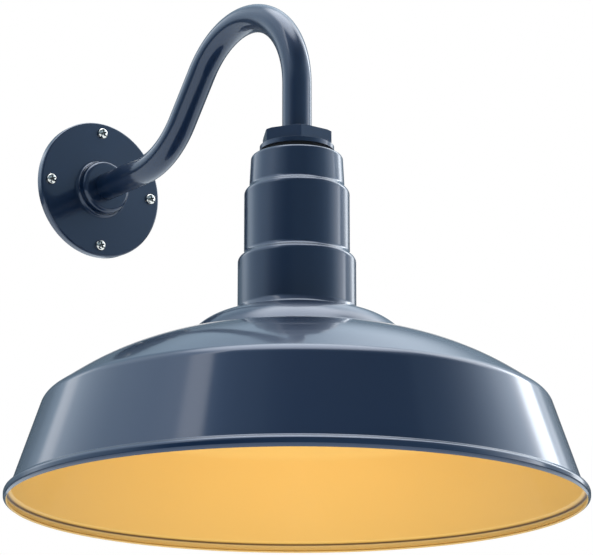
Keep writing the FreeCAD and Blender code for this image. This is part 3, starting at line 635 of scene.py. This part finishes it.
# studio: a pale floor far below, white surroundings with soft lights, and one lamp
floor = {"half": 40, "level": -7, "colour": rgb(235, 235, 233), "roughness": 0.8}
floorMesh = bpy.data.meshes.new("studioFloor")
floorMesh.from_pydata([(across * floor["half"], along * floor["half"], floor["level"])
                       for across, along in ((-1, -1), (1, -1), (1, 1), (-1, 1))], [], [(0, 1, 2, 3)])
studioFloor = stand("studioFloor", floorMesh)
setFinish(studioFloor, Finish("paleFloor", Base_Color=floor["colour"],
                              Roughness=floor["roughness"]).material)

eye = {"spot": (-1.1010, -1.7587, -0.63537), "pitch": 15.255, "heading": -36.5, "lens": 164.07,
       "sensor": 36, "shiftX": -0.5 / 593}
pitch, heading = math.radians(eye["pitch"]), math.radians(eye["heading"])
viewHeading = Vector((-math.sin(heading), math.cos(heading), 0))   # the camera's way, on the level
viewLine = viewHeading * math.cos(pitch) + Vector((0, 0, math.sin(pitch)))

# the light that comes from each side: (degrees from the camera's side to its right, strength)
surroundings = {
    "peak": 8.0,
    "dim": (0.69, 0.96, 1.2), "bright": (0.94, 1.0, 1.07), "dimTo": 0.6, "brightFrom": 2.4,
    "low": [(-180, 0.0), (-155, 0.2), (-135, 0.4), (-120, 1.6), (-105, 1.1), (-70, 0.75),
            (-50, 0.07), (-30, 0.03), (0, 0.31), (55, 0.41), (72, 0.68), (84, 1.5), (94, 2.4),
            (100, 2.9), (103, 4.4), (108, 4.4), (111, 0.6), (132, 0.4), (136, 2.8), (146, 2.8),
            (150, 0.2), (180, 0.0)],
    "middle": [(-180, 0.26), (-150, 0.3), (-138, 0.9), (-134, 2.3), (-128, 2.3), (-124, 1.5),
               (-95, 1.1), (-65, 1.52), (-45, 0.92), (-20, 0.34), (20, 0.3), (50, 0.52),
               (70, 0.78), (85, 1.25), (100, 1.45), (120, 1.62), (125, 2.4), (129, 6.5), (138, 6.5),
               (141, 0.6), (150, 0.5), (180, 0.26)],
    "high": [(-180, 1.05), (-140, 0.66), (-110, 1.54), (-75, 1.4), (-60, 1.7), (-57, 3.0),
             (-47.5, 3.1), (-45, 0.65), (-38, 0.42), (-17, 0.34), (-14, 0.24), (0, 0.15),
             (60, 0.17), (64, 0.3), (90, 0.2), (105, 0.5), (118, 3.0), (138, 3.0), (152, 1.8),
             (168, 1.7), (180, 1.1)],
    "below": 0.14,
    "overhead": 4.4,
    # heights in degrees over which one of these fades into the next
    "belowToLow": (1, 11), "lowToMiddle": (12, 30), "middleToHigh": (30, 48),
    "highToOverhead": (60, 76),
    "backdrop": (6.0, 9.0),
}


def shadeOf(strength):
    # bluish where dim, nearly white where bright
    start, end = surroundings["dimTo"], surroundings["brightFrom"]
    white = min(max((strength - start) / (end - start), 0), 1)
    return (*[strength / surroundings["peak"] * (dim + (bright - dim) * white)
              for dim, bright in zip(surroundings["dim"], surroundings["bright"])], 1)


class Air(Nodes):
    def ring(self, turn, name):
        stops = [((degrees + 180) / 360, shadeOf(strength)) for degrees, strength in surroundings[name]]
        return self.add("ShaderNodeValToRGB", {"stops": stops}, {"Fac": turn})

    def rise(self, height, name):
        low, high = [math.sin(math.radians(degrees)) for degrees in surroundings[name]]
        return self.fade(height, low, high)

    def share(self, way, direction):
        # how far a ray goes along a direction
        return self.add("ShaderNodeVectorMath", {"operation": "DOT_PRODUCT"}, {0: way, 1: direction},
                        "Value")


def makeWorld():
    world = bpy.data.worlds.new("studioAir")
    world.use_nodes = True
    world.node_tree.nodes.clear()
    bpy.context.scene.world = world
    air = Air(world.node_tree)
    way = air.add("ShaderNodeTexCoord", output="Generated")
    toward = air.share(way, -viewHeading)
    aside = air.share(way, Vector((viewHeading.y, -viewHeading.x, 0)))
    height = air.share(way, (0, 0, 1))
    turn = air.fade(aside.maths("ARCTAN2", aside, toward), -math.pi, math.pi, "LINEAR")
    low, middle, high = [air.ring(turn, name) for name in ("low", "middle", "high")]
    upper = air.blend(air.rise(height, "middleToHigh"), middle, high)
    sides = air.blend(air.rise(height, "lowToMiddle"), low, upper)
    dome = air.blend(air.rise(height, "highToOverhead"), sides, shadeOf(surroundings["overhead"]))
    whole = air.blend(air.rise(height, "belowToLow"), shadeOf(surroundings["below"]), dome)
    studio = air.add("ShaderNodeBackground", {}, {"Color": whole, "Strength": surroundings["peak"]})
    # the white backdrop: seen straight, through glass, and in gloss where it stands
    white = air.add("ShaderNodeBackground", {}, {"Color": (1, 1, 1, 1)})
    near, far = [math.cos(math.radians(angle)) for angle in surroundings["backdrop"]]
    inView = air.fade(air.share(way, viewLine), far, near)
    path = air.make("ShaderNodeLightPath").outputs
    straight, through, gloss = [Wire(air, path["Is " + kind + " Ray"])
                                for kind in ("Camera", "Transmission", "Glossy")]
    clear = straight.maths("MAXIMUM", straight, through)
    seen = clear.maths("MAXIMUM", gloss * inView, clear)
    mixed = air.add("ShaderNodeMixShader", {}, {"Fac": seen, 1: studio, 2: white})
    air.make("ShaderNodeOutputWorld", {}, {"Surface": mixed})


makeWorld()

# one soft lamp under the shade, which lights its inside and doesn't show in the gloss
glow = {"spot": (-0.42, -0.84, -0.66), "aim": (0.106, -0.128, -0.17), "size": 0.3, "power": 0.195,
        "spread": 28, "colour": (1.0, 0.95, 0.86)}
underLamp = stand("underLamp", bpy.data.lights.new("underLamp", "AREA"))
underLamp.data.size = glow["size"]
underLamp.data.energy = glow["power"]
underLamp.data.color = glow["colour"]
underLamp.data.spread = math.radians(glow["spread"])
underLamp.location = glow["spot"]
aim = Vector(glow["aim"]) - Vector(glow["spot"])
underLamp.rotation_euler = aim.to_track_quat("-Z", "Y").to_euler()
underLamp.visible_glossy = False

camera = stand("eye", bpy.data.cameras.new("eye"))
camera.data.lens = eye["lens"]
camera.data.sensor_width = eye["sensor"]
camera.data.shift_x = eye["shiftX"]
camera.location = eye["spot"]
camera.rotation_euler = (math.radians(90) + pitch, 0, heading)
bpy.context.scene.camera = camera
bpy.context.scene.view_settings.view_transform = "Standard"
print("studio set")
